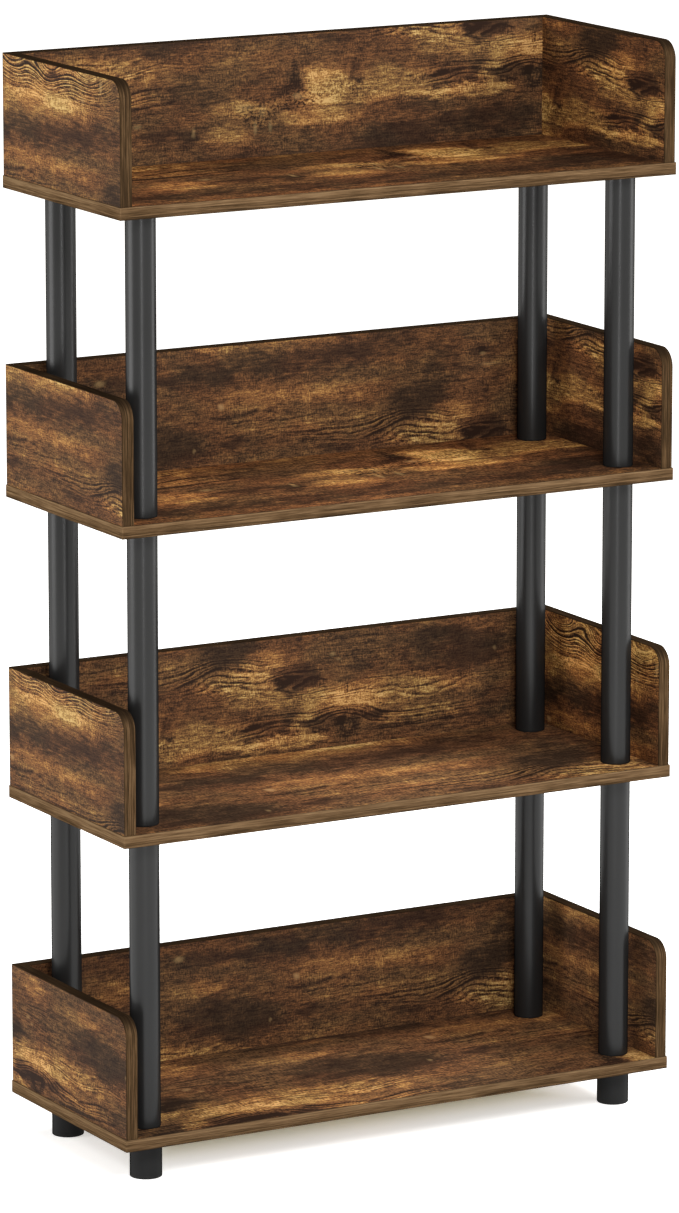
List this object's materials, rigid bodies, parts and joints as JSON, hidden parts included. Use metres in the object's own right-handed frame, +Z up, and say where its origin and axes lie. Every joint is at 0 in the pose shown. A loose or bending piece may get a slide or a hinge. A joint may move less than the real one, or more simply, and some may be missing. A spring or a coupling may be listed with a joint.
{
  "type": "display rack",
  "caption": "Free-standing open display rack with tiers of wood-look boards on black tube posts and short feet; each board has a low back panel and low side panels.",
  "frame": {"origin": "on the floor, under the middle of the boards", "axes": "+X along the boards to the right as seen from the front, +Y from front to back, +Z up"},
  "size_m": [0.6, 0.24, 1.052],
  "materials": {
    "rustic_board": "distressed brown wood-grain melamine, low sheen",
    "edging_strip": "plain brown edging strip with fine lines along it",
    "black_tube": "satin black",
    "black_moulding": "matte black moulding",
    "zinc_steel": "bright zinc plated",
    "beech_dowel": "bare beech"
  },
  "bodies": {
    "root": {"bottom_shelf_board": "rustic_board", "bottom_shelf_back_panel": "rustic_board", "bottom_shelf_left_panel": "rustic_board", "bottom_shelf_right_panel": "rustic_board", "bottom_shelf_board_edging": "edging_strip", "bottom_shelf_panel_edging": "edging_strip", "bottom_shelf_panel_screws": "zinc_steel", "bottom_shelf_corner_dowels": "beech_dowel", "bottom_shelf_studs": "zinc_steel", "lower_shelf_board": "rustic_board", "lower_shelf_back_panel": "rustic_board", "lower_shelf_left_panel": "rustic_board", "lower_shelf_right_panel": "rustic_board", "lower_shelf_board_edging": "edging_strip", "lower_shelf_panel_edging": "edging_strip", "lower_shelf_panel_screws": "zinc_steel", "lower_shelf_corner_dowels": "beech_dowel", "lower_shelf_studs": "zinc_steel", "upper_shelf_board": "rustic_board", "upper_shelf_back_panel": "rustic_board", "upper_shelf_left_panel": "rustic_board", "upper_shelf_right_panel": "rustic_board", "upper_shelf_board_edging": "edging_strip", "upper_shelf_panel_edging": "edging_strip", "upper_shelf_panel_screws": "zinc_steel", "upper_shelf_corner_dowels": "beech_dowel", "upper_shelf_studs": "zinc_steel", "top_shelf_board": "rustic_board", "top_shelf_back_panel": "rustic_board", "top_shelf_left_panel": "rustic_board", "top_shelf_right_panel": "rustic_board", "top_shelf_board_edging": "edging_strip", "top_shelf_panel_edging": "edging_strip", "top_shelf_panel_screws": "zinc_steel", "top_shelf_corner_dowels": "beech_dowel", "top_shelf_studs": "zinc_steel", "lower_tube_front_left": "black_tube", "lower_tube_front_right": "black_tube", "lower_tube_back_left": "black_tube", "lower_tube_back_right": "black_tube", "lower_tube_bottom_plugs": "black_moulding", "lower_tube_top_plugs": "black_moulding", "middle_tube_front_left": "black_tube", "middle_tube_front_right": "black_tube", "middle_tube_back_left": "black_tube", "middle_tube_back_right": "black_tube", "middle_tube_bottom_plugs": "black_moulding", "middle_tube_top_plugs": "black_moulding", "upper_tube_front_left": "black_tube", "upper_tube_front_right": "black_tube", "upper_tube_back_left": "black_tube", "upper_tube_back_right": "black_tube", "upper_tube_bottom_plugs": "black_moulding", "upper_tube_top_plugs": "black_moulding", "foot_front_left": "black_moulding", "foot_front_right": "black_moulding", "foot_back_left": "black_moulding", "foot_back_right": "black_moulding", "top_shelf_insert_nuts": "zinc_steel"}
  },
  "joints": []
}
